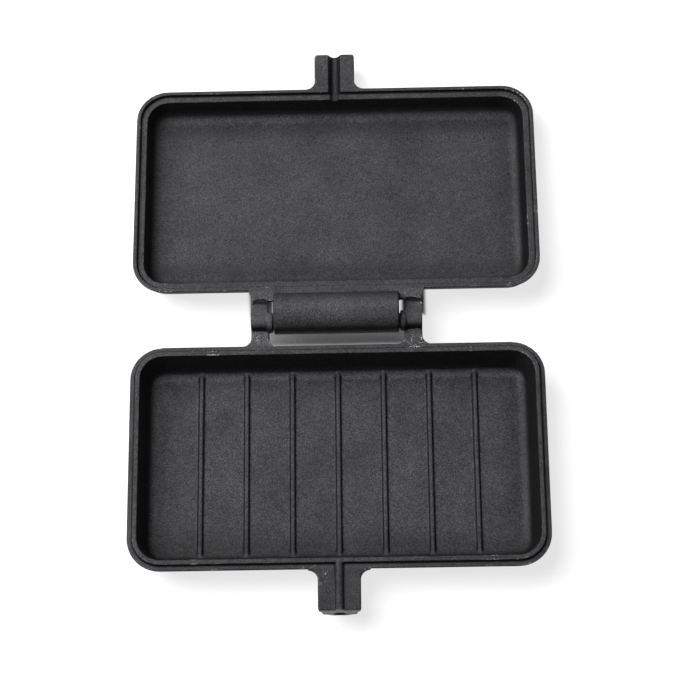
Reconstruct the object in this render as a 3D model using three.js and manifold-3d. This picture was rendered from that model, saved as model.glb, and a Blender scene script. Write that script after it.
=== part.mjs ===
// Pie iron: two cast-iron pans on a hook-and-bar hinge, lying open on a flat surface.
// Millimetres, +Z up, +Y from the ribbed base towards the lid, +X along the hinge.
// The origin is the middle of the base pan's underside. The rods that screw into
// the two sockets are loose parts of their own and aren't modelled.
import * as THREE from 'three';
import { mergeVertices } from 'three/addons/utils/BufferGeometryUtils.js';
import Module from 'manifold-3d';

const wasm = await Module();
wasm.setup();

// Pans
const rimWidth = 230;
const rimLength = 127.2;
const rimCornerRadius = 18.4;
const baseHeight = 25;
const lidHeight = 18.7;
const baseFloor = 5.5;
const lidFloor = 3.7;
const wallDraftDeg = 12.5;
const cavityFillet = 6.3;
const undersideFillet = 8;
const sharpestCorner = 0.6;

// Rims: the base has a raised inner lip, the lid a raised outer ring
const stepHeight = 2.1;
const closedGap = 0.3;
const baseRimFace = 5.6;
const baseLedge = 3.1;
const lidRimFace = 6.1;
const lidRing = 2.2;
const flangeOverhang = 2.2;
const flangeEdge = 1.6;

// Ribs on the base floor
const ribCount = 7;
const ribPitch = 25.5;
const ribRadius = 1.5;
const ribHeight = 1.9;

// Sockets for the rods
const bossTopWidth = 23.2;
const bossMidWidth = 18.6;
const bossLength = 22.8;
const bossDepth = 16;
const bossLowerRadius = 6;
const bossRootRadius = 5.4;
const bossTipRadius = 1.2;
const bossGussetDepth = 5;
const bossReachIntoWall = 8;
const socketRadius = 3.5;
const socketLength = 21;
const socketDrop = 10.3;
const ridgeRadius = 2.45;
const grooveRadius = 3.55;
const grooveDepth = 3.3;

// Hinge: two arms with ears carry a bar, and the lid's hook closes over it
const barRadius = 4;
const barOffset = 3.2;
const hookPlay = 0.4;
const hookTipWall = 2;
const hookRootWall = 6.2;
const hookTipDeg = 203;
const windowGap = 2.55;
const earSpan = 75.6;
const earWidth = 10;
const earPlanRadius = 2;
const hookSideGap = 2.8;
const armDepth = 7;
const armReachIntoWall = 5;
const armRootRadius = 5;
const windowCornerRadius = 3.5;
const knuckleRadius = 4.7;
const knuckleOffset = 2.6;
const knuckleLeanDeg = 12;
const earTopRadius = 26;
const earNoseRadius = 2;
const earNoseLeanDeg = 35;
const earNoseDrop = 2.3;
const earUndercut = 5.8;
const plateGap = 1.1;
const plateThickness = 2.8;
const plateFlare = 2.4;
const plateSetIn = 0.8;
const notchDepth = 0.8;
const notchMargin = 0.8;

// One length by which joined shapes run into each other and cuts run past a face
const overlap = 1;

// Facets of round shapes
const cornerSteps = 6;
const filletSteps = 5;
const roundSteps = 32;
const smallArcSteps = 4;
const wideArcSteps = 7;

// Heights in the hinge frame, whose X axis is the hinge axis
const raisedFace = (stepHeight - closedGap) / 2;
const loweredFace = raisedFace - stepHeight;
const hingeZ = baseHeight - raisedFace;
const baseFloorZ = baseFloor - hingeZ;
const lidUndersideZ = raisedFace - lidHeight;
const lidFloorZ = lidUndersideZ + lidFloor;

// Distances from the hinge axis
const hookInnerRadius = barOffset + barRadius + hookPlay;
const hookOuterRadius = hookInnerRadius + (hookTipWall + hookRootWall) / 2;
const hookOuterOffset = (hookRootWall - hookTipWall) / 2;
const hingeToRim = hookInnerRadius + hookRootWall + windowGap;
const rimCentre = hingeToRim + rimLength / 2;
const rimFarEdge = hingeToRim + rimLength;
const bossEnd = rimFarEdge + bossLength;
const armInner = earSpan / 2;
const armOuter = armInner + earWidth;
const hookHalfWidth = armInner - hookSideGap;

const iron = { color: 0x37373a, roughness: 0.62, metalness: 0.35 };

const radians = THREE.MathUtils.degToRad;

function arc(centreX, centreY, radius, startDeg, endDeg, steps) {
  const points = [];
  for (let i = 0; i <= steps; i += 1) {
    const angle = radians(startDeg + ((endDeg - startDeg) * i) / steps);
    points.push(new THREE.Vector2(centreX + radius * Math.cos(angle), centreY + radius * Math.sin(angle)));
  }
  return points;
}

function point(x, y) {
  return new THREE.Vector2(x, y);
}

function solid(geometry) {
  geometry.deleteAttribute('normal');
  geometry.deleteAttribute('uv');
  const merged = mergeVertices(geometry);
  return new wasm.Manifold(new wasm.Mesh({
    numProp: 3,
    vertProperties: new Float32Array(merged.attributes.position.array),
    triVerts: new Uint32Array(merged.index.array),
  }));
}

function extruded(points, from, to, basis) {
  const geometry = new THREE.ExtrudeGeometry(new THREE.Shape(points), { depth: to - from, bevelEnabled: false });
  geometry.translate(0, 0, from);
  geometry.applyMatrix4(basis);
  return solid(geometry);
}

const alongXBasis = new THREE.Matrix4().makeBasis(
  new THREE.Vector3(0, 1, 0),
  new THREE.Vector3(0, 0, 1),
  new THREE.Vector3(1, 0, 0),
);
const alongYBasis = new THREE.Matrix4().makeBasis(
  new THREE.Vector3(1, 0, 0),
  new THREE.Vector3(0, 0, 1),
  new THREE.Vector3(0, -1, 0),
);

// A side view (y, z) given a width along X
function alongX(points, from, to) {
  return extruded(points, from, to, alongXBasis);
}

// A section (x, z) given a length along Y
function alongY(points, from, to) {
  return extruded(points, -to, -from, alongYBasis);
}

// A plan (x, y) given a height along Z
function alongZ(points, from, to) {
  return extruded(points, from, to, new THREE.Matrix4());
}

function rodAlongX(radius, y, z, from, to) {
  return alongX(arc(y, z, radius, 0, 360, roundSteps).slice(1), from, to);
}

function rodAlongY(radius, x, z, from, to) {
  return alongY(arc(x, z, radius, 0, 360, roundSteps).slice(1), from, to);
}

// The fill between two straight edges that meet at a corner, with a hollow arc
function gusset(cornerX, cornerY, towardsX, towardsY, radius, from, to) {
  const curve = [];
  for (let i = 0; i <= filletSteps; i += 1) {
    const angle = ((Math.PI / 2) * i) / filletSteps;
    curve.push(point(
      cornerX + towardsX * radius * (1 - Math.sin(angle)),
      cornerY + towardsY * radius * (1 - Math.cos(angle)),
    ));
  }
  const backX = cornerX - towardsX * overlap;
  const backY = cornerY - towardsY * overlap;
  const points = [point(backX, backY), point(cornerX + towardsX * radius, backY), ...curve];
  points.push(point(backX, cornerY + towardsY * radius));
  return alongZ(points, from, to);
}

// The rim's rounded rectangle, drawn in by an inset
function rimOutline(inset) {
  const radius = Math.max(rimCornerRadius - inset, sharpestCorner);
  const halfX = rimWidth / 2 - inset - radius;
  const halfY = rimLength / 2 - inset - radius;
  return [
    ...arc(halfX, halfY, radius, 0, 90, cornerSteps),
    ...arc(-halfX, halfY, radius, 90, 180, cornerSteps),
    ...arc(-halfX, -halfY, radius, 180, 270, cornerSteps),
    ...arc(halfX, -halfY, radius, 270, 360, cornerSteps),
  ];
}

// A closed body from rim outlines stacked on each other, each at its inset and height
function stackedOutlines(rings, centreY) {
  const outlines = rings.map((ring) => rimOutline(ring.inset));
  const count = outlines[0].length;
  const positions = [];
  rings.forEach((ring, level) => {
    outlines[level].forEach((p) => positions.push(p.x, p.y + centreY, ring.z));
  });
  const last = rings.length - 1;
  const bottomMiddle = positions.length / 3;
  positions.push(0, centreY, rings[0].z);
  positions.push(0, centreY, rings[last].z);
  const index = [];
  for (let j = 0; j < count; j += 1) {
    const next = (j + 1) % count;
    for (let level = 0; level < last; level += 1) {
      const low = level * count;
      const high = low + count;
      index.push(low + j, low + next, high + next, low + j, high + next, high + j);
    }
    index.push(bottomMiddle, next, j);
    index.push(bottomMiddle + 1, last * count + j, last * count + next);
  }
  const geometry = new THREE.BufferGeometry();
  geometry.setAttribute('position', new THREE.Float32BufferAttribute(positions, 3));
  geometry.setIndex(index);
  return solid(geometry);
}

// Centre of the fillet between a drafted wall that starts at (startInset, startZ) and a floor
function filletCentre(startInset, startZ, floorZ, radius) {
  const draft = radians(wallDraftDeg);
  const z = floorZ + radius;
  const wallDrop = startZ - z + radius * Math.sin(draft);
  return { inset: startInset + wallDrop * Math.tan(draft) + radius * Math.cos(draft), z };
}

// Floor, fillet and drafted wall, from the floor up
function bowlRings(startInset, startZ, floorZ, radius) {
  const centre = filletCentre(startInset, startZ, floorZ, radius);
  const rings = arc(0, 0, radius, 90, wallDraftDeg, filletSteps).map((p) => ({
    inset: centre.inset - p.x,
    z: centre.z - p.y,
  }));
  rings.push({ inset: startInset, z: startZ });
  return rings;
}

function outerRings(undersideZ, edgeTopZ) {
  const edgeBottomZ = edgeTopZ - flangeEdge;
  const flangeRoot = edgeBottomZ - flangeOverhang;
  return [
    ...bowlRings(flangeOverhang, flangeRoot, undersideZ, undersideFillet),
    { inset: 0, z: edgeBottomZ },
    { inset: 0, z: edgeTopZ },
  ];
}

// Rod socket at the far end from the hinge, pointing along direction (-1 base, +1 lid)
function socketBoss(topZ, direction) {
  const halfTop = bossTopWidth / 2;
  const halfMid = bossMidWidth / 2;
  const lowerZ = topZ - bossDepth + bossLowerRadius;
  const lowerX = halfMid - bossLowerRadius;
  const section = alongY([
    point(-halfTop, topZ),
    ...arc(-lowerX, lowerZ, bossLowerRadius, 180, 270, filletSteps),
    ...arc(lowerX, lowerZ, bossLowerRadius, 270, 360, filletSteps),
    point(halfTop, topZ),
  ], ...span(rimFarEdge - bossReachIntoWall, bossEnd, direction));
  const noseY = bossEnd - bossLowerRadius;
  const sideView = alongX([
    point(direction * (rimFarEdge - bossReachIntoWall - overlap), topZ + overlap),
    point(direction * (rimFarEdge - bossReachIntoWall - overlap), topZ - bossDepth),
    ...arc(noseY, lowerZ, bossLowerRadius, 270, 360, filletSteps).map((p) => point(direction * p.x, p.y)),
    point(direction * bossEnd, topZ + overlap),
  ], -bossTopWidth, bossTopWidth);
  const tipX = halfTop - bossTipRadius;
  const tipY = bossEnd - bossTipRadius;
  const plan = alongZ([
    point(-halfTop, direction * (rimFarEdge - bossReachIntoWall - overlap)),
    point(halfTop, direction * (rimFarEdge - bossReachIntoWall - overlap)),
    ...arc(tipX, tipY, bossTipRadius, 0, 90, smallArcSteps).map((p) => point(p.x, direction * p.y)),
    ...arc(-tipX, tipY, bossTipRadius, 90, 180, smallArcSteps).map((p) => point(p.x, direction * p.y)),
  ], topZ - bossDepth - overlap, topZ + overlap);
  let boss = section.intersect(sideView).intersect(plan);
  for (const side of [-1, 1]) {
    boss = boss.add(gusset(
      side * halfTop,
      direction * rimFarEdge,
      side,
      direction,
      bossRootRadius,
      topZ - bossGussetDepth,
      topZ,
    ));
  }
  return boss;
}

function span(near, far, direction) {
  return direction > 0 ? [near, far] : [-far, -near];
}

function socketBore(topZ, direction) {
  const z = topZ - socketDrop;
  return rodAlongY(socketRadius, 0, z, ...span(bossEnd - socketLength, bossEnd + overlap, direction));
}

// Side view of one arm: flat top, knuckle over the bar, long nose towards the lid
function earProfile() {
  const kneeDeg = 90 - knuckleLeanDeg;
  const noseDeg = 90 - earNoseLeanDeg;
  const startDeg = 180 + THREE.MathUtils.radToDeg(Math.asin(-loweredFace / knuckleRadius));
  const kneeX = Math.cos(radians(kneeDeg));
  const kneeZ = Math.sin(radians(kneeDeg));
  const topY = -knuckleOffset + (knuckleRadius - earTopRadius) * kneeX;
  const topZ = (knuckleRadius - earTopRadius) * kneeZ;
  const noseY = topY + (earTopRadius - earNoseRadius) * Math.cos(radians(noseDeg));
  const noseZ = topZ + (earTopRadius - earNoseRadius) * Math.sin(radians(noseDeg));
  const bottomZ = loweredFace - armDepth;
  const reach = noseY + earNoseRadius;
  return {
    reach,
    points: [
      point(-hingeToRim - armReachIntoWall, bottomZ),
      point(-hingeToRim - armReachIntoWall, loweredFace),
      ...arc(-knuckleOffset, 0, knuckleRadius, startDeg, kneeDeg, wideArcSteps),
      ...arc(topY, topZ, earTopRadius, kneeDeg, noseDeg, smallArcSteps).slice(1),
      ...arc(noseY, noseZ, earNoseRadius, noseDeg, 0, smallArcSteps).slice(1),
      point(reach, noseZ - earNoseDrop),
      point(reach - earUndercut, bottomZ),
    ],
  };
}

const ear = earProfile();
const plateEdge = ear.reach + plateGap;

function hingeArm(side) {
  const [low, high] = side > 0 ? [armInner, armOuter] : [-armOuter, -armInner];
  const tipY = ear.reach - earPlanRadius;
  const plan = alongZ([
    point(low, -hingeToRim - armReachIntoWall - overlap),
    point(high, -hingeToRim - armReachIntoWall - overlap),
    ...arc(high - earPlanRadius, tipY, earPlanRadius, 0, 90, smallArcSteps),
    ...arc(low + earPlanRadius, tipY, earPlanRadius, 90, 180, smallArcSteps),
  ], -hingeZ, hingeZ);
  const bottomZ = loweredFace - armDepth;
  return alongX(ear.points, low, high)
    .intersect(plan)
    .add(gusset(side * armOuter, -hingeToRim, side, 1, armRootRadius, bottomZ, loweredFace))
    .add(gusset(side * armInner, -hingeToRim, -side, 1, windowCornerRadius, bottomZ, loweredFace));
}

function ribs() {
  const endInset = filletCentre(baseRimFace, raisedFace, baseFloorZ, cavityFillet).inset - cavityFillet;
  const nearY = -rimFarEdge + endInset;
  const farY = -hingeToRim - endInset;
  const centreZ = baseFloorZ + ribHeight - ribRadius;
  const section = [
    point(-ribRadius, baseFloorZ - overlap),
    point(ribRadius, baseFloorZ - overlap),
    ...arc(0, centreZ, ribRadius, 0, 180, wideArcSteps),
  ];
  const first = (-(ribCount - 1) / 2) * ribPitch;
  let all = null;
  for (let i = 0; i < ribCount; i += 1) {
    const rib = alongY(section.map((p) => point(p.x + first + i * ribPitch, p.y)), nearY, farY);
    all = all ? all.add(rib) : rib;
  }
  return all;
}

function basePan() {
  const body = stackedOutlines([
    ...outerRings(-hingeZ, loweredFace),
    { inset: baseLedge, z: loweredFace },
    { inset: baseLedge, z: raisedFace },
  ], -rimCentre);
  const cavityTop = bowlRings(baseRimFace, raisedFace, baseFloorZ, cavityFillet);
  const cavity = stackedOutlines([
    ...cavityTop,
    { inset: baseRimFace, z: raisedFace + overlap },
  ], -rimCentre);
  const ridge = rodAlongY(ridgeRadius, 0, loweredFace, -bossEnd, -rimFarEdge + bossReachIntoWall);
  return body
    .add(socketBoss(loweredFace, -1))
    .add(ridge)
    .add(hingeArm(-1))
    .add(hingeArm(1))
    .add(rodAlongX(barRadius, -barOffset, 0, -armInner - overlap, armInner + overlap))
    .subtract(cavity)
    .add(ribs())
    .subtract(socketBore(loweredFace, -1));
}

// The hook's side view: thick at the root, thin at the tip
function hookProfile() {
  const bottomZ = raisedFace - plateThickness;
  const outerStart = THREE.MathUtils.radToDeg(Math.asin(bottomZ / hookOuterRadius));
  const innerStart = THREE.MathUtils.radToDeg(Math.asin(bottomZ / hookInnerRadius));
  const outer = arc(hookOuterOffset, 0, hookOuterRadius, outerStart, hookTipDeg, roundSteps);
  const inner = arc(0, 0, hookInnerRadius, hookTipDeg, innerStart, roundSteps);
  return [...outer, ...inner];
}

// Flange that joins the hook to the lid's rim, with a notch over each ear
function lidPlate() {
  const outerEdge = armOuter - plateSetIn;
  const rimEdge = outerEdge + plateFlare;
  const back = hingeToRim + armReachIntoWall;
  const notchLow = armInner;
  const notchHigh = outerEdge - notchMargin;
  const halfEdge = [
    point(rimEdge, back),
    point(rimEdge, hingeToRim),
    point(outerEdge, plateEdge),
    point(notchHigh, plateEdge),
    point(notchHigh, plateEdge + notchDepth),
    point(notchLow, plateEdge + notchDepth),
    point(notchLow, plateEdge),
    point(hookHalfWidth - overlap, plateEdge),
    point(hookHalfWidth - overlap, hookInnerRadius + hookRootWall - overlap),
  ];
  const mirrored = halfEdge.map((p) => point(-p.x, p.y)).reverse();
  return alongZ([...halfEdge, ...mirrored], raisedFace - plateThickness, raisedFace);
}

function lidPan() {
  const body = stackedOutlines(outerRings(lidUndersideZ, raisedFace), rimCentre);
  const cavity = stackedOutlines([
    ...bowlRings(lidRimFace, loweredFace, lidFloorZ, cavityFillet),
    { inset: lidRing, z: loweredFace },
    { inset: lidRing, z: raisedFace + overlap },
  ], rimCentre);
  const groove = rodAlongY(
    grooveRadius,
    0,
    raisedFace + grooveRadius - grooveDepth,
    rimFarEdge - lidRimFace - overlap,
    bossEnd + overlap,
  );
  return body
    .add(socketBoss(raisedFace, 1))
    .add(lidPlate())
    .add(alongX(hookProfile(), -hookHalfWidth, hookHalfWidth))
    .subtract(cavity)
    .subtract(groove)
    .subtract(socketBore(raisedFace, 1));
}

// The open lid leans until the far edge of its underside lies on the surface
function lidRestAngle() {
  const edge = filletCentre(
    flangeOverhang,
    raisedFace - flangeEdge - flangeOverhang,
    lidUndersideZ,
    undersideFillet,
  );
  const y = rimFarEdge - edge.inset;
  return Math.asin((undersideFillet - hingeZ) / Math.hypot(y, edge.z)) - Math.atan2(edge.z, y);
}

function castingMesh(name, casting) {
  const mesh = casting.getMesh();
  const geometry = new THREE.BufferGeometry();
  geometry.setAttribute('position', new THREE.Float32BufferAttribute(mesh.vertProperties, 3));
  geometry.setIndex(Array.from(mesh.triVerts));
  geometry.computeVertexNormals();
  const result = new THREE.Mesh(geometry, new THREE.MeshStandardMaterial(iron));
  result.name = name;
  return result;
}

const group = new THREE.Group();
const hinge = new THREE.Group();
hinge.position.set(0, rimCentre, hingeZ);
const base = castingMesh('base_pan', basePan());
const lid = castingMesh('lid_pan', lidPan());
lid.rotation.x = lidRestAngle();
hinge.add(base, lid);
group.add(hinge);

export default group;
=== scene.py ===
import math

import bmesh
import bpy
import numpy as np
from mathutils import Matrix, Vector


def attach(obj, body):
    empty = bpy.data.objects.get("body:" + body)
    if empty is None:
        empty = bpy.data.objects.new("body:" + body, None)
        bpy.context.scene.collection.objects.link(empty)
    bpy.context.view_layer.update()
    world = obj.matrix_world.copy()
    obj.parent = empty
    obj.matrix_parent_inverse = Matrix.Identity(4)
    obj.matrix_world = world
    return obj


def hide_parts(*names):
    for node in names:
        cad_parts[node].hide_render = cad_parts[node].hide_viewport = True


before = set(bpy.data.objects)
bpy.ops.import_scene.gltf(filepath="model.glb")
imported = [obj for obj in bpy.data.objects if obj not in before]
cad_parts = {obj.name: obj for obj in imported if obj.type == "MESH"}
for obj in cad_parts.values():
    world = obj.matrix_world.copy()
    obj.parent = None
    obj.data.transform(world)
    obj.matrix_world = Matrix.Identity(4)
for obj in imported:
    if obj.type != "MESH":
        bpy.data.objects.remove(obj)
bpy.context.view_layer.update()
print("frame loaded")

# Both pans are modelled level with the hinge line along X through the origin, the base towards -Y
# and the lid towards +Y. Each is then set in its place, the lid leaning back. Metres throughout.
hinge = {"y": 0.07995, "z": 0.0241, "toRim": 0.01635, "barRadius": 0.004, "barY": -0.0032}
rim = {"width": 0.230, "length": 0.1272, "corner": 0.0184, "edge": 0.0016, "overhang": 0.0022}
raised = 0.0009    # the lip that goes inside the other pan's ring
lowered = -0.0012  # the flat that the ring shuts on
draft = math.tan(math.radians(12.5))
roundTurn = 77.5   # from a floor up into a drafted wall, in degrees
farEdge = hinge["toRim"] + rim["length"]
hair = 0.00003     # keeps two level faces apart where they are joined
within = 0.00003   # how close two places count as the same
slack = 0.0001     # a little room when faces are chosen by their width
spare = 0.001      # how far a cutter runs past what it cuts


def startClean():
    if bpy.context.mode != "OBJECT":
        bpy.ops.object.mode_set(mode="OBJECT")
    bpy.ops.object.select_all(action="DESELECT")


def choose(piece):
    startClean()
    piece.select_set(True)
    bpy.context.view_layer.objects.active = piece


def settle(name):  # names the new primitive and puts its place into its mesh
    piece = bpy.context.object
    piece.name = piece.data.name = name
    bpy.ops.object.transform_apply(location=True, rotation=True, scale=True)
    return piece


def addBlock(name, low, high):
    startClean()
    middle = [(a + b) / 2 for a, b in zip(low, high)]
    size = [abs(b - a) for a, b in zip(low, high)]
    bpy.ops.mesh.primitive_cube_add(size=1, location=middle, scale=size)
    return settle(name)


def addRod(name, radius, start, end, sides=48):  # a round bar along one of the axes
    startClean()
    axis = max(range(3), key=lambda i: abs(end[i] - start[i]))
    turn = [(0, math.pi / 2, 0), (math.pi / 2, 0, 0), (0, 0, 0)][axis]
    middle = [(a + b) / 2 for a, b in zip(start, end)]
    bpy.ops.mesh.primitive_cylinder_add(
        vertices=sides, radius=radius, depth=abs(end[axis] - start[axis]), location=middle, rotation=turn
    )
    return settle(name)


def edit(piece):
    choose(piece)
    bpy.ops.object.mode_set(mode="EDIT")


def editDone():
    bpy.ops.mesh.select_mode(type="VERT")
    bpy.ops.mesh.select_all(action="SELECT")
    bpy.ops.mesh.normals_make_consistent(inside=False)
    bpy.ops.object.mode_set(mode="OBJECT")


def pick(kind, test):  # selects the corners, edges or faces whose every corner passes the test
    bpy.ops.mesh.select_mode(type="VERT")
    bpy.ops.mesh.select_all(action="DESELECT")
    bpy.ops.mesh.select_mode(type=kind)
    mesh = bmesh.from_edit_mesh(bpy.context.object.data)
    if kind == "VERT":
        for vert in mesh.verts:
            vert.select_set(bool(test(vert.co)))
    else:
        for part in mesh.edges if kind == "EDGE" else mesh.faces:
            part.select_set(all(test(vert.co) for vert in part.verts))
    mesh.select_flush_mode()
    bmesh.update_edit_mesh(bpy.context.object.data)


def near(a, b):
    return abs(a - b) < within


def extrude(x=0, y=0, z=0):
    bpy.ops.mesh.extrude_region_move(TRANSFORM_OT_translate={"value": (x, y, z)})


def inset(thickness, depth=0):
    bpy.ops.mesh.inset(thickness=thickness, depth=depth, use_even_offset=True)


def slide(x=0, y=0, z=0):
    bpy.ops.transform.translate(value=(x, y, z))


def stretch(x=1, y=1, z=1, about=(0, 0, 0)):
    bpy.ops.transform.resize(value=(x, y, z), center_override=about)


def cutAcross(x=None, y=None):  # a loop of new edges round the whole piece at this x or y
    bpy.ops.mesh.select_all(action="SELECT")
    if y is None:
        bpy.ops.mesh.bisect(plane_co=(x, 0, 0), plane_no=(1, 0, 0))
    else:
        bpy.ops.mesh.bisect(plane_co=(0, y, 0), plane_no=(0, 1, 0))


def mergeFlats():  # takes away edges between level faces
    bpy.ops.mesh.select_all(action="SELECT")
    bpy.ops.mesh.dissolve_limited(angle_limit=0.01)


def roundEdges(radius, turnDeg=90, segments=6):
    reach = radius * math.tan(math.radians(turnDeg) / 2)
    bpy.ops.mesh.bevel(offset=reach, offset_type="OFFSET", segments=segments, affect="EDGES")


def roundUprights(radius, places, segments=6):  # the upright edges at these (x, y)
    for x, y in places:
        pick("EDGE", lambda c: near(c.x, x) and near(c.y, y))
        roundEdges(radius, 90, segments)


def combine(piece, tool, operation="UNION"):
    change = piece.modifiers.new(tool.name, "BOOLEAN")
    change.operation = operation
    change.solver = "EXACT"
    change.object = tool
    choose(piece)
    bpy.ops.object.modifier_apply(modifier=change.name)
    bpy.data.objects.remove(tool)


def panMiddle(pan):
    return pan["side"] * (hinge["toRim"] + rim["length"] / 2)


def startPan(name, pan, shrink, low, high):  # a block with the rim's outline, smaller by this all round
    middle = panMiddle(pan)
    halfX, halfY = rim["width"] / 2 - shrink, rim["length"] / 2 - shrink
    piece = addBlock(name, (-halfX, middle - halfY, low), (halfX, middle + halfY, high))
    edit(piece)
    corners = [(x, middle + y) for x in (-halfX, halfX) for y in (-halfY, halfY)]
    roundUprights(rim["corner"] - shrink, corners, 10)
    return piece


def addPan(name, pan):  # rim and drafted outside of one casting, still solid inside
    edgeLow = pan["edgeTop"] - rim["edge"]
    piece = startPan(name, pan, 0, edgeLow, pan["edgeTop"])
    pick("FACE", lambda c: near(c.z, edgeLow))
    inset(rim["overhang"], rim["overhang"])
    wallDrop = edgeLow - rim["overhang"] - pan["underside"]
    inset(wallDrop * draft, wallDrop)
    if pan["lipInset"]:
        pick("FACE", lambda c: near(c.z, pan["edgeTop"]))
        inset(pan["lipInset"])
        extrude(z=raised - lowered)
    pick("EDGE", lambda c: near(c.z, pan["underside"]))
    roundEdges(pan["undersideRound"], roundTurn, 8)
    editDone()
    return piece


def addHollow(pan):  # what is cut out of a pan: the mouth, then drafted walls down to the floor
    mouth = pan["mouthLow"] + hair
    piece = startPan("pan_hollow", pan, pan["mouthInset"], mouth, raised + 2 * spare)
    pick("FACE", lambda c: near(c.z, mouth))
    if pan["bandWidth"]:
        inset(pan["bandWidth"])
    inset((mouth - pan["floor"]) * draft, mouth - pan["floor"])
    pick("EDGE", lambda c: near(c.z, pan["floor"]))
    roundEdges(pan["cavityRound"], roundTurn, 8)
    editDone()
    return piece


socket = {
    "halfWidth": 0.0116, "length": 0.0228, "depth": 0.016, "narrowing": 0.72, "intoWall": 0.008,
    "lowerRound": 0.0055, "endRound": 0.003, "endLow": 0.0045, "tipRound": 0.0017,
    "rootRound": 0.0054, "webDepth": 0.005, "webIntoWall": 0.003,
    "boreRadius": 0.0035, "boreDepth": 0.021, "boreDrop": 0.0103,
    "ridgeRadius": 0.0023, "ridgeShort": 0.0003, "ridgeIntoWall": 0.006,
    "grooveWidth": 0.0074, "grooveFloor": 0.35, "grooveDepth": 0.0034, "grooveRound": 0.0016, "grooveTurn": 54,
    "grooveIntoWall": 0.0071, "grooveWiden": 1.15, "widenFrom": 0.001, "widenTo": 0.0025,
}
bossEnd = farEdge + socket["length"]


def addSocket(pan, top):  # the stub that the rod screws into, with its flared root
    side, half = pan["side"], socket["halfWidth"] - hair
    top -= 2 * hair
    low, end = top - socket["depth"], side * (bossEnd - hair)
    stub = addBlock("socket_stub", (-half, side * (farEdge - socket["intoWall"]), low), (half, end, top))
    edit(stub)
    pick("FACE", lambda c: near(c.z, low))
    stretch(x=socket["narrowing"])
    narrow = half * socket["narrowing"]
    for x in (-narrow, narrow):
        pick("EDGE", lambda c: near(c.z, low) and near(c.x, x))
        roundEdges(socket["lowerRound"], 90, 6)
    belly = low + socket["endLow"]
    pick("EDGE", lambda c: near(c.y, end) and c.z < belly)
    roundEdges(socket["endRound"], 90, 5)
    for way in (-1, 1):
        pick("EDGE", lambda c: near(c.y, end) and c.x * way > 0 and c.z > belly)
        roundEdges(socket["tipRound"], 90, 4)
    editDone()

    half, end, top = half + hair, side * bossEnd, top + hair
    root = side * (farEdge - hair)
    wide = half + socket["rootRound"]
    web = addBlock("socket_root", (-wide, side * (farEdge - socket["webIntoWall"]), top - socket["webDepth"]),
                   (wide, root, top))
    edit(web)
    for x in (-half, half):
        cutAcross(x=x)
    pick("FACE", lambda c: near(c.y, root) and abs(c.x) < half + slack)
    extrude(y=end - root)
    mergeFlats()
    roundUprights(socket["rootRound"], [(-half, root), (half, root)], 8)
    roundUprights(socket["tipRound"], [(-half, end), (half, end)], 4)
    editDone()
    combine(stub, web)
    return stub


def addBore(pan, top):
    side, z = pan["side"], top - socket["boreDrop"]
    start, end = side * (bossEnd - socket["boreDepth"]), side * (bossEnd + spare)
    return addRod("socket_bore", socket["boreRadius"], (0, start, z), (0, end, z))


# In each pan's settings, the lines from wallInset on are for its finish and its painted light and shade. The painted
# floor shade's shares are for the left, right, near and far sides, the walls' painted light and shade for walls that
# face right, left, away and back.
basePan = {
    "side": -1, "edgeTop": lowered, "lipInset": 0.0031, "mouthInset": 0.0056, "mouthLow": raised, "bandWidth": 0,
    "floor": -0.0186, "underside": -0.0241, "cavityRound": 0.0063, "undersideRound": 0.008,
    "ribs": 7, "ribPitch": 0.0255, "ribRadius": 0.0015, "ribRise": 0.0019, "ribEndInset": 0.00868,
    "wallInset": 0.0054, "stepFoot": 0.0031, "stepPaintedShade": 0.7, "footPaintedLight": 1.1,
    "floorEdgeShade": (0.0, 0.32, 0.42, 0.15), "wallLightAndShade": (1.2, 0.55, 0.8, 2.4),
}
arm = {
    "inner": 0.0378, "outer": 0.0478, "depth": 0.007, "intoWall": 0.003, "outerRoot": 0.005, "windowRoot": 0.0042,
    "blankTop": 0.006, "shankEnd": -0.0035, "knuckleY": -0.0026, "knuckleRadius": 0.0047,
    "noseFrom": -0.00162, "noseTop": 0.0046, "bendY": 0.00355, "bendDrop": 0.0011, "bendBack": 0.0006,
    "crown": 0.026, "crownTurn": 23, "tipY": 0.0100, "tipDrop": 0.0052, "tipRise": 0.0057,
    "tipRound": 0.0022, "tipTurn": 58,
    "flare": 0.0025, "flareRadius": 0.0051, "flareFull": 0.12, "flareSteps": (0.0, 0.06, 0.12, 1.0),
}


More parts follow.
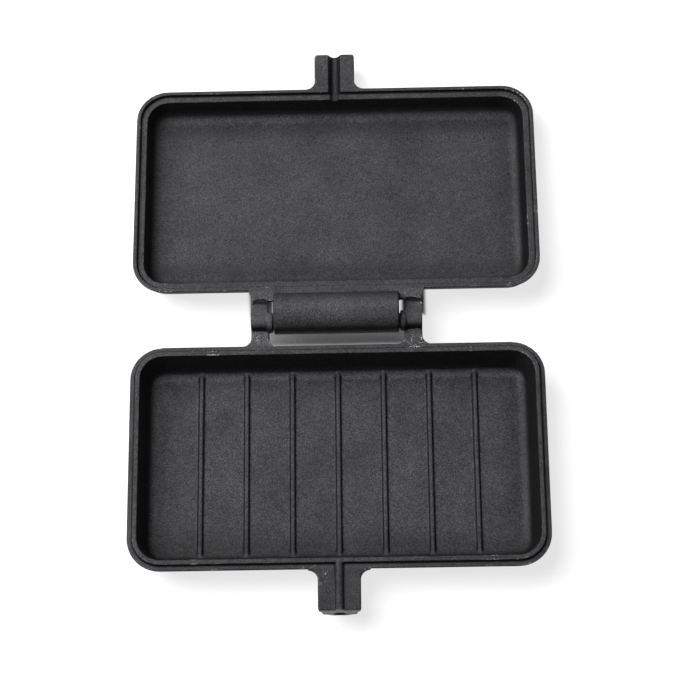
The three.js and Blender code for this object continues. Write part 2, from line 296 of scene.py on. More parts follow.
def addArm():  # one hinge arm: flat shank, knuckle over the bar, nose towards the lid
    inner, outer, root = arm["inner"], arm["outer"], -hinge["toRim"] - hair
    bottom = lowered - arm["depth"]
    wideLow, wideHigh = inner - arm["windowRoot"], outer + arm["outerRoot"]
    piece = addBlock("hinge_arm", (wideLow, root - arm["intoWall"], bottom), (wideHigh, root, arm["blankTop"]))
    edit(piece)
    for x in (inner, outer):
        cutAcross(x=x)
    pick("FACE", lambda c: near(c.y, root) and inner - slack < c.x < outer + slack)
    extrude(y=arm["tipY"] - root)
    mergeFlats()
    roundUprights(arm["windowRoot"], [(inner, root)])
    roundUprights(arm["outerRoot"], [(outer, root)])
    roundUprights(arm["tipRound"], [(inner, arm["tipY"]), (outer, arm["tipY"])])
    editDone()

    # the side view, wider than the arm with its roots and reaching further into the wall
    low, high = inner - 0.006, outer + 0.008
    profile = addBlock("arm_profile", (low, root - 0.004, bottom), (high, arm["shankEnd"], lowered - hair))
    knuckle = arm["knuckleY"]
    combine(profile, addRod("knuckle", arm["knuckleRadius"], (low, knuckle, 0), (high, knuckle, 0), 64))
    nose = addBlock("nose", (low, arm["noseFrom"], bottom), (high, arm["tipY"], arm["noseTop"]))
    edit(nose)
    cutAcross(y=arm["bendY"])
    pick("VERT", lambda c: near(c.y, arm["bendY"]) and c.z > 0)
    slide(z=-arm["bendDrop"])
    pick("VERT", lambda c: near(c.y, arm["bendY"]) and c.z < 0)
    slide(y=-arm["bendBack"])
    pick("VERT", lambda c: near(c.y, arm["tipY"]) and c.z > 0)
    slide(z=-arm["tipDrop"])
    pick("VERT", lambda c: near(c.y, arm["tipY"]) and near(c.z, bottom))
    slide(z=arm["tipRise"])
    pick("EDGE", lambda c: near(c.y, arm["bendY"]) and near(c.z, arm["noseTop"] - arm["bendDrop"]))
    roundEdges(arm["crown"], arm["crownTurn"], 10)
    pick("EDGE", lambda c: near(c.y, arm["tipY"]) and near(c.z, arm["noseTop"] - arm["tipDrop"]))
    roundEdges(arm["tipRound"], arm["tipTurn"], 5)
    editDone()
    combine(profile, nose)
    combine(piece, profile, "INTERSECT")
    return piece


def addBar():  # the hinge bar, which swells where it runs into the arms
    reach, y = arm["inner"] + spare, hinge["barY"]
    piece = addRod("hinge_bar", hinge["barRadius"], (-reach, y, 0), (reach, y, 0))
    edit(piece)
    for way in (-1, 1):
        for share in arm["flareSteps"]:
            x = way * (arm["inner"] - (1 - share) * arm["flare"])
            cutAcross(x=x)
            pick("VERT", lambda c: near(c.x, x) or (share == 1.0 and c.x * way > x * way))
            grow = 1 + (arm["flareRadius"] / hinge["barRadius"] - 1) * min(1, share / arm["flareFull"])
            stretch(y=grow, z=grow, about=(x, y, 0))
    editDone()
    return piece


def mirrored(piece):  # a copy on the other side of the middle, with its own mesh
    choose(piece)
    bpy.ops.object.duplicate(linked=False)
    copy = bpy.context.object
    edit(copy)
    bpy.ops.mesh.select_all(action="SELECT")
    stretch(x=-1)
    editDone()
    return copy


def addRibs():
    endGap = basePan["ribEndInset"]
    z = basePan["floor"] + basePan["ribRise"] - basePan["ribRadius"]
    first = -(basePan["ribs"] - 1) / 2 * basePan["ribPitch"]
    rib = addRod("rib", basePan["ribRadius"], (first, -farEdge + endGap, z), (first, -hinge["toRim"] - endGap, z), 32)
    ribs = [rib]
    for _ in range(basePan["ribs"] - 1):
        choose(ribs[-1])
        bpy.ops.object.duplicate(linked=False)
        copy = bpy.context.object
        copy.location.x = basePan["ribPitch"]
        bpy.ops.object.transform_apply(location=True)
        ribs.append(copy)
    return ribs


def addRidge():  # the round ridge on the base's socket, which stops just short of its end
    start, end = socket["ridgeShort"] - bossEnd, socket["ridgeIntoWall"] - farEdge
    return addRod("socket_ridge", socket["ridgeRadius"], (0, start, lowered), (0, end, lowered))


def makeBase():
    piece = addPan("base_casting", basePan)
    combine(piece, addSocket(basePan, lowered))
    combine(piece, addRidge())
    rightArm = addArm()
    combine(piece, mirrored(rightArm))
    combine(piece, rightArm)
    combine(piece, addBar())
    combine(piece, addHollow(basePan), "DIFFERENCE")
    for rib in addRibs():
        combine(piece, rib)
    combine(piece, addBore(basePan, lowered), "DIFFERENCE")
    print("base pan blocked out")
    return piece


lidPan = {
    "side": 1, "edgeTop": raised, "lipInset": 0, "mouthInset": 0.0022, "mouthLow": lowered, "bandWidth": 0.0039,
    "floor": -0.0141, "underside": -0.0178, "cavityRound": 0.0063, "undersideRound": 0.008, "leanDeg": -2.7483,
    "wallInset": 0.0059, "stepFoot": 0.0022, "stepPaintedShade": 0.7, "footPaintedLight": 0.0,
    "floorEdgeShade": (0.05, 0.3, 0.4, 0.5), "wallLightAndShade": (0.85, 0.4, 1.0, 1.35),
}
hook = {
    "halfWidth": 0.035, "outerRadius": 0.0117, "outerY": 0.0021, "innerRadius": 0.0076, "endRound": 0.001,
    "rootLow": -0.0019, "tipLow": -0.0038,
    "skinWide": 0.0004, "skinDepth": 0.0009, "skinLow": -0.006, "skinTo": 0.0112, "endShade": 0.3,
    "slopeLightAndShade": ((-65, -48, -32, -17, -5, 7, 19, 34, 45, 58, 65, 74, 90),  # a face's slope in degrees, its painted light and shade
              (0.35, 0.4, 0.68, 1.03, 1.35, 1.3, 1.15, 1.2, 1.0, 0.85, 0.42, 0.12, 0.03)),
}
plate = {
    "edgeY": 0.00984, "halfAtEdge": 0.0470, "halfAtRim": 0.0494, "thickness": 0.0028, "intoRim": 0.004,
    "notchFrom": 0.0387, "notchTo": 0.0451, "notchDepth": 0.0009, "notchRound": 0.0008,
}


def addHook():  # the open half-round that closes over the bar
    half, y = hook["halfWidth"], hook["outerY"]
    piece = addRod("hook", hook["outerRadius"], (-half, y, 0), (half, y, 0), 96)
    edit(piece)
    for end in (-half, half):
        pick("EDGE", lambda c: near(c.x, end))
        roundEdges(hook["endRound"], 90, 3)
    editDone()
    wide, deep = 0.04, 0.02  # the cutters are wider and deeper than the hook
    inside = addRod("hook_inside", hook["innerRadius"], (-wide, 0, 0), (wide, 0, 0), 96)
    combine(piece, inside, "DIFFERENCE")
    combine(piece, addBlock("under_root", (-wide, 0, -deep), (wide, deep, hook["rootLow"])), "DIFFERENCE")
    combine(piece, addBlock("under_tip", (-wide, -deep, -deep), (wide, spare, hook["tipLow"])), "DIFFERENCE")
    return piece


def addPlate():  # the flange between the hook and the lid's rim
    edge, half, low = plate["edgeY"], plate["halfAtRim"], raised - plate["thickness"] + hair
    piece = addBlock("hinge_plate", (-half, edge, low), (half, hinge["toRim"] + plate["intoRim"], raised - hair))
    edit(piece)
    cutAcross(y=hinge["toRim"] + hair)
    pick("VERT", lambda c: near(c.y, edge))
    stretch(x=plate["halfAtEdge"] / half)
    editDone()
    middle, half = (plate["notchFrom"] + plate["notchTo"]) / 2, (plate["notchTo"] - plate["notchFrom"]) / 2
    end, deep = edge + plate["notchDepth"], 0.01  # deeper than the plate is thick
    for way in (-1, 1):
        sides = (way * middle - half, way * middle + half)
        notch = addBlock("ear_notch", (sides[0], edge - 2 * spare, -deep), (sides[1], end, deep))
        edit(notch)
        for x in sides:
            pick("EDGE", lambda c: near(c.x, x) and near(c.y, end))
            roundEdges(plate["notchRound"], 90, 4)
        editDone()
        combine(piece, notch, "DIFFERENCE")
    return piece


def addGroove():  # the trough in the lid's socket, over the base's ridge
    half, low = socket["grooveWidth"] / 2, raised - socket["grooveDepth"]
    start, end = farEdge - socket["grooveIntoWall"], bossEnd + spare
    piece = addBlock("socket_groove", (-half, start, low), (half, end, raised))
    edit(piece)
    pick("FACE", lambda c: near(c.z, raised))
    extrude(z=2 * spare)
    pick("FACE", lambda c: near(c.z, low))
    stretch(x=socket["grooveFloor"])
    foot = half * socket["grooveFloor"]
    for x in (-foot, foot):
        pick("EDGE", lambda c: near(c.z, low) and near(c.x, x))
        roundEdges(socket["grooveRound"], socket["grooveTurn"], 4)
    for y in (farEdge - socket["widenFrom"], farEdge - socket["widenTo"]):
        cutAcross(y=y)
    pick("VERT", lambda c: c.y < farEdge - socket["widenTo"] + slack)
    stretch(x=socket["grooveWiden"])
    editDone()
    return piece


def makeLid():
    piece = addPan("lid_casting", lidPan)
    combine(piece, addSocket(lidPan, raised))
    combine(piece, addPlate())
    combine(piece, addHook())
    combine(piece, addHollow(lidPan), "DIFFERENCE")
    combine(piece, addGroove(), "DIFFERENCE")
    combine(piece, addBore(lidPan, raised), "DIFFERENCE")
    print("lid pan blocked out")
    return piece


casting = {"grain": 0.0004, "quickGrain": 0.0009, "softening": 4, "softFactor": 0.5, "triangles": 190000,
           "sharpBend": 500, "deepestCrease": 1.5}


def castSurface(piece):  # turns sharp joins into the soft edges and fillets of a sand casting
    choose(piece)
    cast = piece.modifiers.new("cast", "REMESH")
    cast.mode = "VOXEL"
    cast.voxel_size = casting["grain"]
    bpy.ops.object.modifier_apply(modifier=cast.name)
    soft = piece.modifiers.new("soft", "SMOOTH")
    soft.factor = casting["softFactor"]
    soft.iterations = casting["softening"]
    bpy.ops.object.modifier_apply(modifier=soft.name)
    count = 2 * len(piece.data.polygons)
    if count > casting["triangles"]:
        thin = piece.modifiers.new("thin", "DECIMATE")
        thin.ratio = casting["triangles"] / count
        bpy.ops.object.modifier_apply(modifier=thin.name)
    bpy.ops.object.shade_smooth()
    print(piece.name, "cast,", count, "triangles thinned to", len(piece.data.polygons))


def rise(value, start, width):  # 0 up to the start, 1 past the width
    return np.clip((value - start) / width, 0, 1)


def fall(value, end, width):  # 1 before the width, 0 from the end on
    return np.clip((end - value) / width, 0, 1)


def spread(values, ends, passes):  # evens a value out over neighbouring points
    count = np.bincount(ends.ravel(), minlength=len(values))
    for _ in range(passes):
        total = np.bincount(ends[:, 0], values[ends[:, 1]], len(values))
        total += np.bincount(ends[:, 1], values[ends[:, 0]], len(values))
        values = (values + total) / (1 + count)
    return values


def readSurface(mesh):  # the points, their normals, and the two ends of every edge
    points = np.empty(len(mesh.vertices) * 3, np.float32)
    normals = np.empty(len(mesh.vertices) * 3, np.float32)
    ends = np.empty(len(mesh.edges) * 2, np.int32)
    mesh.vertices.foreach_get("co", points)
    mesh.vertices.foreach_get("normal", normals)
    mesh.edges.foreach_get("vertices", ends)
    return points.reshape(-1, 3), normals.reshape(-1, 3), ends.reshape(-1, 2)


def findBend(points, normals, ends):  # above 0 along edges that stand out, below 0 in creases
    along = points[ends[:, 1]] - points[ends[:, 0]]
    length = (along ** 2).sum(1)
    bend = np.bincount(ends[:, 0], -(normals[ends[:, 0]] * along).sum(1) / length, len(points))
    bend += np.bincount(ends[:, 1], (normals[ends[:, 1]] * along).sum(1) / length, len(points))
    return spread(bend / np.bincount(ends.ravel(), minlength=len(points)), ends, 2)


def distanceIn(x, y, pan):  # from the rim's outline inwards
    out = np.array([x - rim["width"] / 2, np.abs(y - panMiddle(pan)) - rim["length"] / 2]) + rim["corner"]
    return rim["corner"] - np.hypot(*np.maximum(out, 0)) - np.minimum(out.max(0), 0)


# Where the finish and the painted light and shade change. A pair is a start, or an end, and a width. Level is 1 on a
# flat and 0 on a wall.
wear = {
    "stepHalf": 0.0011, "stepSoft": 0.0005, "stepBelow": 0.0006, "stepAbove": 0.0008,
    "belowFloor": 0.0005, "aboveFloor": 0.004, "floorShadeAt": 0.0165, "floorShadeInward": 0.0062, "floorShadeOutward": 0.003,
    "filletSlope": 0.25, "filletLevel": (0.55, 0.2), "leftFilletLight": 0.5, "nearFilletShade": 0.35,
    "wallLevel": (0.6, 0.2), "wallFacing": (0.18, 0.6),
    "besideHook": 1.35, "shortOfRim": 0.0005, "baseSocket": 0.75, "trough": 0.65, "troughLow": -0.004,
    "troughBelow": 0.0003, "innerLevel": (0.96, 0.4), "outerLevel": (0.88, 0.5), "troughLevel": (0.97, 0.2),
    "facedSkin": 0.0004, "facedDepth": 0.004, "facedSlope": 0.9,
    "rubbedHeight": (0.003, 0.0015), "besideGroove": 0.0025,
}
ear = {
    "noseShade": (0.0066, 0.0016), "beside": 0.0016, "inward": (0.15, 0.3), "innerFrom": (0.0012, 0.001),
    "strip": (0.00126, 0.0009), "stripLow": -0.0005, "stripFrom": (0.0022, 0.0008), "stripShade": 0.7,
    "joinFrom": -0.009, "joinTo": 0.0018, "joinCrease": 0.2, "keenWidth": 0.002, "keenTo": 0.0135, "keenEdge": 0.1,
}


def paintedFloorShade(pan, right, ahead, onFloor):  # painted shade: darker on the floor beside its edges
    floorShade = np.zeros(len(right))
    sides = (rim["width"] / 2 + right, rim["width"] / 2 - right, rim["length"] / 2 + ahead, rim["length"] / 2 - ahead)
    for share, distance in zip(pan["floorEdgeShade"], sides):
        past = distance - wear["floorShadeAt"]
        reach = np.where(past > 0, wear["floorShadeInward"], wear["floorShadeOutward"])
        floorShade = np.maximum(floorShade, share * np.exp(-(past / reach) ** 2))
    return 1 - floorShade * onFloor


def paintedFilletAndWallLight(pan, normals, level, inside):  # painted light on the far and left fillets, painted shade on the near ones, then painted light and shade on each wall by the way it faces
    sideways, ahead = normals[:, 0], normals[:, 1]
    leftFoot, nearFoot, farFoot = (rise(slope, 0, wear["filletSlope"]) for slope in (sideways, ahead, -ahead))
    foot = inside * rise(level, *wear["filletLevel"])
    tone = 1 + pan["footPaintedLight"] * np.maximum(farFoot, leftFoot * wear["leftFilletLight"]) * foot
    tone *= 1 - wear["nearFilletShade"] * nearFoot * foot
    steep = inside * fall(level, *wear["wallLevel"])
    for share, facing in zip(pan["wallLightAndShade"], (sideways, -sideways, ahead, -ahead)):
        tone *= 1 + (share - 1) * steep * rise(facing, *wear["wallFacing"])
    return tone


def markEars(points, normals, wall, crease, toned, edge):  # painted shade on the noses, the arms' inner faces and a strip beside them; the bar's joins kept even, with less crease shade and edge highlight there
    y, fromInner = points[:, 1], np.abs(points[:, 0]) - arm["inner"]
    inward = -normals[:, 0] * np.sign(points[:, 0])
    innerFace = (np.abs(fromInner) < ear["beside"]) * rise(inward, *ear["inward"]) * rise(y, *ear["innerFrom"])
    strip = fall(fromInner, *ear["strip"]) * (fromInner > ear["stripLow"]) * rise(y, *ear["stripFrom"])
    wall = np.maximum.reduce([wall, rise(y, *ear["noseShade"]), innerFace, strip])
    toned = toned * (1 - ear["stripShade"] * strip)
    joined = (fromInner < ear["beside"]) & (y > ear["joinFrom"]) & (y < ear["joinTo"])
    crease = np.where(joined, crease * ear["joinCrease"], crease)
    keen = (np.abs(fromInner) < ear["keenWidth"]) & (np.abs(y) < ear["keenTo"])
    return wall, crease, toned, np.where(keen, edge * ear["keenEdge"], edge)


def paintHookLightAndShade(x, y, z, normals, wall, toned):  # painted light and shade on the hook's outer skin by its slope, and painted shade on its ends
    radius = np.hypot(y - hook["outerY"], z)
    skin = (x < hook["halfWidth"] + hook["skinWide"]) & (np.abs(radius - hook["outerRadius"]) < hook["skinDepth"])
    skin &= (z > hook["skinLow"]) & (y < hook["outerY"] + hook["skinTo"])
    slope = np.degrees(np.arctan2(-normals[:, 1], normals[:, 2]))
    toned = np.where(skin, np.interp(slope, *hook["slopeLightAndShade"]), toned)
    toned = np.where(skin & (np.abs(normals[:, 0]) > 0.5), hook["endShade"], toned)
    return np.where(skin, 0, wall), toned


def markSurface(piece, pan):  # lays on every point the values that the iron's material reads, most of them painted light and shade
    points, normals, ends = readSurface(piece.data)
    x, y, z = np.abs(points[:, 0]), points[:, 1], points[:, 2]
    level = np.abs(normals[:, 2])
    bend = findBend(points, normals, ends) / casting["sharpBend"]
    edge = np.clip(bend, 0, 1)
    # creases are darkened in the colour below: painted shade
    crease = spread(np.clip(-bend, 0, casting["deepestCrease"]), ends, 3)
    fromRim = distanceIn(x, y, pan)
    hollow = fromRim > pan["wallInset"]
    inside = hollow & (z > pan["floor"] - wear["belowFloor"])

    foot = pan["stepFoot"]  # painted shade: a dark line along the foot of the rim's step
    step = rise(fromRim, foot - wear["stepHalf"], wear["stepSoft"])
    step *= fall(fromRim, foot + wear["stepHalf"], wear["stepSoft"])
    step *= (z < raised - wear["stepBelow"]) & (z > lowered - wear["stepAbove"])
    crease = np.maximum(crease, step * pan["stepPaintedShade"])

    onFloor = hollow & (np.abs(z - pan["floor"]) < wear["aboveFloor"])
    toned = paintedFloorShade(pan, points[:, 0], y - panMiddle(pan), onFloor) * paintedFilletAndWallLight(pan, normals, level, inside)
    besideHook = (x > hook["halfWidth"]) & (np.abs(y) < hinge["toRim"] - wear["shortOfRim"])
    toned *= np.where(besideHook, wear["besideHook"], 1)
    # the socket's groove is darkened: painted shade in the recess
    trough = (x < socket["grooveWidth"] / 2) & (y > farEdge - socket["grooveIntoWall"] - slack)
    trough &= (z > wear["troughLow"]) & (z < raised - wear["troughBelow"])
    # steep faces are darkened through the wall value: painted shade
    wall = np.where(inside, fall(level, *wear["innerLevel"]), fall(level, *wear["outerLevel"]))
    wall = np.where(trough, fall(level, *wear["troughLevel"]), wall)
    toned = np.where(trough, wear["trough"], toned)
    if pan["side"] < 0:
        toned *= np.where(y < -farEdge, wear["baseSocket"], 1)
        wall, crease, toned, edge = markEars(points, normals, wall, crease, toned, edge)
    else:
        wall, toned = paintHookLightAndShade(x, y, z, normals, wall, toned)

    # the sockets' end faces and the bores' mouths are painted lighter: painted light
    fromBore = np.hypot(x, z - pan["edgeTop"] + socket["boreDrop"]) - socket["boreRadius"]
    endFaceLight = (np.abs(y) > bossEnd - wear["facedSkin"]) & (np.abs(normals[:, 1]) > wear["facedSlope"])
    endFaceLight |= (np.abs(y) > bossEnd - wear["facedDepth"]) & (fromBore < wear["facedSkin"])
    rubbed = edge * fall(np.abs(z), *wear["rubbedHeight"]) * (x > socket["grooveWidth"] / 2 + wear["besideGroove"])
    marks = {"edge": edge, "rubbed": rubbed, "crease": np.clip(crease, 0, 1), "toned": spread(toned, ends, 2),
             "wall": spread(wall, ends, 2), "endFaceLight": endFaceLight}
    for name, values in marks.items():
        mark = piece.data.attributes.new(name, "FLOAT", "POINT")
        mark.data.foreach_set("value", values.astype(np.float32))


def place(piece, leanDeg=0):
    choose(piece)
    piece.rotation_euler.x = math.radians(leanDeg)
    piece.location = (0, hinge["y"], hinge["z"])
    bpy.ops.object.transform_apply(location=True, rotation=True, scale=True)


def join(tree, value, into):  # links another node's output to an input, or sets the input itself
    if isinstance(value, bpy.types.NodeSocket):
        tree.links.new(value, into)
    else:
        into.default_value = value


def put(tree, kind, inputs=None, **settings):  # adds a node, its inputs set or linked
    node = tree.nodes.new(kind)
    for name, value in settings.items():
        setattr(node, name, value)
    for name, value in (inputs or {}).items():
        join(tree, value, node.inputs[name])
    return node


def calc(tree, operation, a, b=0.0):
    return put(tree, "ShaderNodeMath", {0: a, 1: b}, operation=operation).outputs[0]


def away(tree, value, middle):  # how far a value is from a middle
    return calc(tree, "ABSOLUTE", calc(tree, "SUBTRACT", value, middle))


def weigh(tree, a, shareOfA, b, shareOfB):
    return calc(tree, "ADD", calc(tree, "MULTIPLY", a, shareOfA), calc(tree, "MULTIPLY", b, shareOfB))


def apart(tree, a, b):  # the distance between two places
    return put(tree, "ShaderNodeVectorMath", {0: a, 1: b}, operation="DISTANCE").outputs["Value"]


def fromTo(tree, value, low, high, newLow=0.0, newHigh=1.0):
    inputs = {"Value": value, "From Min": low, "From Max": high, "To Min": newLow, "To Max": newHigh}
    return put(tree, "ShaderNodeMapRange", inputs, interpolation_type="SMOOTHSTEP").outputs["Result"]


def noise(tree, where, scale, detail=2.0, roughness=0.5, distortion=0.0):
    inputs = {"Vector": where, "Scale": scale, "Detail": detail, "Roughness": roughness, "Distortion": distortion}
    return put(tree, "ShaderNodeTexNoise", inputs).outputs["Fac"]


def newEffect(name, inputs, outputs):
    group = bpy.data.node_groups.new(name, "ShaderNodeTree")
    for label, value in inputs.items():
        kind = "NodeSocketVector" if isinstance(value, tuple) else "NodeSocketFloat"
        group.interface.new_socket(label, in_out="INPUT", socket_type=kind).default_value = value
    for label in outputs:
        group.interface.new_socket(label, in_out="OUTPUT", socket_type="NodeSocketFloat")
    return group, group.nodes.new("NodeGroupInput").outputs, group.nodes.new("NodeGroupOutput").inputs


def sandGrainEffect():  # the fine grain that the sand mould leaves
    group, into, out = newEffect("sand_grain", {"Place": (0.0, 0.0, 0.0), "Scale": 1100.0}, ("Height", "Fleck"))
    coarse = noise(group, into["Place"], into["Scale"], 2.0, 0.6)
    curl = noise(group, into["Place"], calc(group, "MULTIPLY", into["Scale"], 0.8), 1.0, 0.5, 0.6)
    ridge = fromTo(group, away(group, curl, 0.5), 0.0, 0.07, 1.0, 0.0)
    group.links.new(weigh(group, coarse, 0.7, ridge, 0.3), out["Height"])
    group.links.new(weigh(group, fromTo(group, coarse, 0.3, 0.7), 0.6, ridge, 0.4), out["Fleck"])
    return group


def seasoningEffect():  # broad clouds of the burnt-on oil
    group, into, out = newEffect("seasoning", {"Place": (0.0, 0.0, 0.0), "Scale": 40.0, "Depth": 0.2}, ("Tone",))
    broad = noise(group, into["Place"], into["Scale"], 3.0, 0.6)
    small = noise(group, into["Place"], calc(group, "MULTIPLY", into["Scale"], 7.0), 2.0, 0.5)
    both = weigh(group, broad, 0.65, small, 0.35)
    swing = calc(group, "MULTIPLY", calc(group, "SUBTRACT", both, 0.5), into["Depth"])
    group.links.new(calc(group, "ADD", swing, 1.0), out["Tone"])
    return group


def edgeRubEffect():  # specks of bare iron where edges rub on each other
    group, into, out = newEffect("edge_rub", {"Place": (0.0, 0.0, 0.0), "Edge": 0.0, "Amount": 0.5}, ("Mask",))
    specks = noise(group, into["Place"], 800.0, 2.0, 0.6)
    runs = noise(group, into["Place"], 90.0, 2.0, 0.5)
    level = calc(group, "ADD", specks, calc(group, "MULTIPLY", calc(group, "SUBTRACT", runs, 0.5), 0.7))
    bare = fromTo(group, level, calc(group, "SUBTRACT", 0.95, calc(group, "MULTIPLY", into["Amount"], 0.5)), 0.82)
    group.links.new(calc(group, "MULTIPLY", bare, fromTo(group, into["Edge"], 0.12, 0.5)), out["Mask"])
    return group


def scuffEffect():  # a patch of short curled scratches round one place
    inputs = {"Place": (0.0, 0.0, 0.0), "Centre": (0.0, 0.0, 0.0), "Reach": 0.01}
    group, into, out = newEffect("scuffs", inputs, ("Mask",))
    line = noise(group, into["Place"], 170.0, 1.0, 0.5, 1.0)
    thin = fromTo(group, away(group, line, 0.5), 0.002, 0.013, 1.0, 0.0)
    broken = fromTo(group, noise(group, into["Place"], 260.0, 2.0), 0.44, 0.52)
    distance = apart(group, into["Place"], into["Centre"])
    close = fromTo(group, calc(group, "DIVIDE", distance, into["Reach"]), 0.35, 1.0, 1.0, 0.0)
    group.links.new(calc(group, "MULTIPLY", calc(group, "MULTIPLY", thin, broken), close), out["Mask"])
    return group


iron = {
    "colour": (0.0346, 0.0346, 0.037, 1), "darkest": (0.0008, 0.0008, 0.0008, 1),
    "bareColour": (0.26, 0.256, 0.25, 1), "scuffColour": (0.34, 0.336, 0.325, 1),
    # the lighter end-face colour is painted light
    "endFaceLightColour": (0.15, 0.148, 0.145, 1), "endFaceLightShare": 0.8,
    "specular": 0.07, "roughness": 0.5, "wallRoughness": 0.45, "cloudRoughness": (0.7, 1.3, 0.05, -0.05),
    # the darker walls and creases are painted shade
    "flecks": 0.72, "wallPaintedShade": 0.85, "creaseFrom": (0.12, 0.55), "creasePaintedShade": 0.92,
    # the lighter edges are partly worn polish and partly painted highlight
    "edgeFrom": (0.3, 1.0), "edgePolishAndHighlight": 0.65, "edgeRub": 0.75,
    "grainScale": 1700.0, "grainDepth": 0.0003, "cloudScale": 40.0, "cloudDepth": 1.5,
    "scuffs": [  # place and reach: beside the base's socket, by both arms, on both sides of the lid's socket
        ((-0.0135, -0.066, 0.0229), 0.0095), ((-0.043, 0.066, 0.0229), 0.0085), ((0.043, 0.066, 0.0229), 0.0085),
        ((-0.013, 0.2262, 0.013), 0.006), ((0.013, 0.2262, 0.013), 0.006),
    ],
}


def castIron():
    material = bpy.data.materials.new("seasoned_iron")
    material.use_nodes = True
    tree = material.node_tree
    shader = tree.nodes["Principled BSDF"]
    shader.inputs["Specular IOR Level"].default_value = iron["specular"]
    where = put(tree, "ShaderNodeTexCoord").outputs["Object"]

    def effect(group, inputs):
        return put(tree, "ShaderNodeGroup", inputs, node_tree=group).outputs

    def attribute(name):
        return put(tree, "ShaderNodeAttribute", attribute_name=name).outputs["Fac"]

    def blendColour(amount, under, over):
        node = put(tree, "ShaderNodeMix", data_type="RGBA")
        for name, value in (("Factor_Float", amount), ("A_Color", under), ("B_Color", over)):
            join(tree, value, next(i for i in node.inputs if i.identifier == name))
        return next(o for o in node.outputs if o.identifier == "Result_Color")

    grain = effect(sandGrainEffect(), {"Place": where, "Scale": iron["grainScale"]})
    clouds = effect(seasoningEffect(), {"Place": where, "Scale": iron["cloudScale"], "Depth": iron["cloudDepth"]})
    rub = effect(edgeRubEffect(), {"Place": where, "Edge": attribute("rubbed"), "Amount": iron["edgeRub"]})
    wall = attribute("wall")

    tone = clouds["Tone"]
    for share in (
        fromTo(tree, grain["Fleck"], 0.0, 1.0, 1 - iron["flecks"], 1 + iron["flecks"]),
        # painted shade on steep faces
        fromTo(tree, wall, 0.0, 1.0, 1.0, 1 - iron["wallPaintedShade"]),
        # painted shade in the creases
        fromTo(tree, attribute("crease"), *iron["creaseFrom"], 1.0, 1 - iron["creasePaintedShade"]),
        # partly worn polish, partly painted highlight on the edges
        fromTo(tree, attribute("edge"), *iron["edgeFrom"], 1.0, 1 + iron["edgePolishAndHighlight"]),
        # the painted light and shade laid on the points
        attribute("toned"),
    ):
        tone = calc(tree, "MULTIPLY", tone, share)
    brightest = tuple(2 * v for v in iron["colour"][:3]) + (1,)  # halfway to it is the iron's own colour
    colour = blendColour(calc(tree, "MULTIPLY", tone, 0.5), iron["darkest"], brightest)
    colour = blendColour(rub["Mask"], colour, iron["bareColour"])
    # painted light on the sockets' end faces and in the bores' mouths
    colour = blendColour(calc(tree, "MULTIPLY", attribute("endFaceLight"), iron["endFaceLightShare"]), colour, iron["endFaceLightColour"])
    scuffGroup = scuffEffect()
    for centre, reach in iron["scuffs"]:
        mask = effect(scuffGroup, {"Place": where, "Centre": centre, "Reach": reach})["Mask"]
        colour = blendColour(mask, colour, iron["scuffColour"])
    tree.links.new(colour, shader.inputs["Base Color"])

    rough = fromTo(tree, wall, 0.0, 1.0, iron["roughness"], iron["wallRoughness"])
    rough = calc(tree, "ADD", rough, fromTo(tree, clouds["Tone"], *iron["cloudRoughness"]))
    tree.links.new(rough, shader.inputs["Roughness"])
    bump = put(tree, "ShaderNodeBump", {"Height": grain["Height"], "Distance": iron["grainDepth"]})
    tree.links.new(bump.outputs["Normal"], shader.inputs["Normal"])
    return material


base = makeBase()
castSurface(base)
markSurface(base, basePan)
place(base)
lid = makeLid()
castSurface(lid)
markSurface(lid, lidPan)
place(lid, lidPan["leanDeg"])
material = castIron()
for piece, body, node in ((base, "base", "base_pan"), (lid, "lid", "lid_pan")):
    piece.data.materials.clear()
    piece.data.materials.append(material)
    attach(piece, body)
    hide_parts(node)
print("castings placed")

# Under the hinge, where the floor gets a painted shadow and a faint painted glow: a middle and half a width along X,
# the same along Y, and how soft the patch's edge is.
studio = {
    "floorSize": 6, "floorColour": (0.95, 0.95, 0.95, 1), "floorRoughness": 0.9, "floorSpecular": 0.1,
    "whiten": 0.76, "middle": (0, 0.08, 0), "whiteFrom": (0.3, 0.7),
    "underHinge": [(0, 0.0415, 0.0787, 0.0053, 0.006), (0.0434, 0.0052, 0.0965, 0.006, 0.003)],
    "hingePaintedShadow": 0.15, "hingePaintedGlow": (0.069, 0.081, 0.03, 0.12), "shutReach": 0.05, "shutIn": (0.38, 0.62),
    "boxSize": (1.1, 1.5), "boxPlace": (-0.75, 0.42, 1.14), "boxAim": (0, 0.07, 0), "boxPower": 68, "ambient": 0.02,
}


def seenRays(tree):  # 1 for what the camera sees, also in a reflection or through something clear
    rays = put(tree, "ShaderNodeLightPath").outputs
    seen = calc(tree, "MAXIMUM", rays["Is Camera Ray"], rays["Is Glossy Ray"])
    return calc(tree, "MAXIMUM", seen, rays["Is Transmission Ray"])


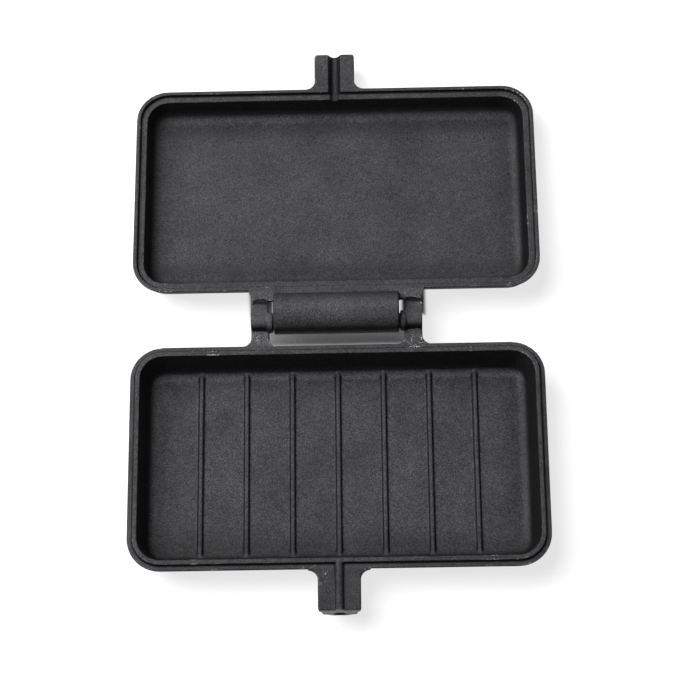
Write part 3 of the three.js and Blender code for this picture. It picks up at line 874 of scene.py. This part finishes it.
def paleFloor():
    startClean()
    bpy.ops.mesh.primitive_plane_add(size=studio["floorSize"], location=(0, 0, 0))
    floor = settle("studio_floor")
    paper = bpy.data.materials.new("pale_paper")
    paper.use_nodes = True
    tree = paper.node_tree
    shader = tree.nodes["Principled BSDF"]
    shader.inputs["Roughness"].default_value = studio["floorRoughness"]
    shader.inputs["Specular IOR Level"].default_value = studio["floorSpecular"]
    # what is seen of the floor is part white, which thins its shadows, and all white far away;
    # under the hinge, where iron closes the floor in, it gets a painted shadow, a darker floor colour, and a faint
    # painted glow
    where = put(tree, "ShaderNodeTexCoord").outputs["Object"]
    axes = put(tree, "ShaderNodeSeparateXYZ", {0: where}).outputs
    sky = put(tree, "ShaderNodeAmbientOcclusion", {"Distance": studio["shutReach"]}, samples=8).outputs["AO"]
    overhead = fromTo(tree, sky, *studio["shutIn"])
    clear = []
    for x, halfX, y, halfY, soft in studio["underHinge"]:
        offX = fromTo(tree, away(tree, calc(tree, "ABSOLUTE", axes["X"]), x), halfX, halfX + soft)
        offY = fromTo(tree, away(tree, axes["Y"], y), halfY, halfY + soft)
        clear.append(calc(tree, "MAXIMUM", calc(tree, "MAXIMUM", offX, offY), overhead))
    uncovered = calc(tree, "MULTIPLY", clear[0], clear[1])
    far = fromTo(tree, apart(tree, where, studio["middle"]), *studio["whiteFrom"])
    # a faint painted glow on the floor under the hinge
    hingePaintedGlow = fromTo(tree, axes["Y"], *studio["hingePaintedGlow"])
    paintedGlow = calc(tree, "MULTIPLY", calc(tree, "SUBTRACT", 1.0, clear[0]), hingePaintedGlow)
    lit = calc(tree, "ADD", calc(tree, "MULTIPLY", uncovered, studio["whiten"]), paintedGlow)
    share = calc(tree, "MULTIPLY", seenRays(tree), calc(tree, "MAXIMUM", lit, far))
    # painted shadow: the floor's colour darkened under the hinge
    shade = put(tree, "ShaderNodeVectorMath", {0: studio["floorColour"][:3]}, operation="SCALE")
    tree.links.new(fromTo(tree, uncovered, 0.0, 1.0, studio["hingePaintedShadow"], 1.0), shade.inputs["Scale"])
    tree.links.new(shade.outputs[0], shader.inputs["Base Color"])
    white = put(tree, "ShaderNodeEmission", {"Color": (1, 1, 1, 1), "Strength": 1.0})
    mix = put(tree, "ShaderNodeMixShader", {0: share, 1: shader.outputs[0], 2: white.outputs[0]})
    tree.links.new(mix.outputs[0], tree.nodes["Material Output"].inputs["Surface"])
    floor.data.materials.append(paper)


def setStudio():
    paleFloor()
    bpy.ops.object.light_add(type="AREA", location=studio["boxPlace"])
    box = bpy.context.object
    box.name = "softbox"
    box.data.shape = "RECTANGLE"
    box.data.size, box.data.size_y = studio["boxSize"]
    box.data.energy = studio["boxPower"]
    aim = Vector(studio["boxAim"]) - Vector(studio["boxPlace"])
    box.rotation_euler = aim.to_track_quat("-Z", "Y").to_euler()

    world = bpy.data.worlds.new("studio")
    bpy.context.scene.world = world
    world.use_nodes = True
    tree = world.node_tree
    tree.nodes.clear()
    room = put(tree, "ShaderNodeBackground", {"Color": (1, 1, 1, 1), "Strength": studio["ambient"]})
    white = put(tree, "ShaderNodeBackground", {"Color": (1, 1, 1, 1), "Strength": 1.0})
    mix = put(tree, "ShaderNodeMixShader", {0: seenRays(tree), 1: room.outputs[0], 2: white.outputs[0]})
    put(tree, "ShaderNodeOutputWorld", {"Surface": mix.outputs[0]})


shot = {"aim": (0.00182, 0.0656, 0.025), "distance": 1.19117, "elevation": 70.68, "azimuth": 3.49,
        "roll": -4.32, "lens": 113.447, "sensor": 36, "farthest": 20}


def setCamera():
    elevation, azimuth, roll = (math.radians(shot[k]) for k in ("elevation", "azimuth", "roll"))
    back = Vector((math.sin(azimuth) * math.cos(elevation), -math.cos(azimuth) * math.cos(elevation),
                   math.sin(elevation)))
    right = Vector((math.cos(azimuth), math.sin(azimuth), 0))
    up = back.cross(right)
    across = math.cos(roll) * right + math.sin(roll) * up
    upright = -math.sin(roll) * right + math.cos(roll) * up
    turn = Matrix((across, upright, back)).transposed().to_4x4()
    camera = bpy.data.cameras.new("camera")
    camera.lens = shot["lens"]
    camera.sensor_width = shot["sensor"]
    camera.clip_end = shot["farthest"]
    holder = bpy.data.objects.new("camera", camera)
    bpy.context.collection.objects.link(holder)
    holder.matrix_world = Matrix.Translation(Vector(shot["aim"]) + shot["distance"] * back) @ turn
    bpy.context.scene.camera = holder


setStudio()
setCamera()
bpy.context.scene.view_settings.view_transform = "Standard"
print("studio and camera set")
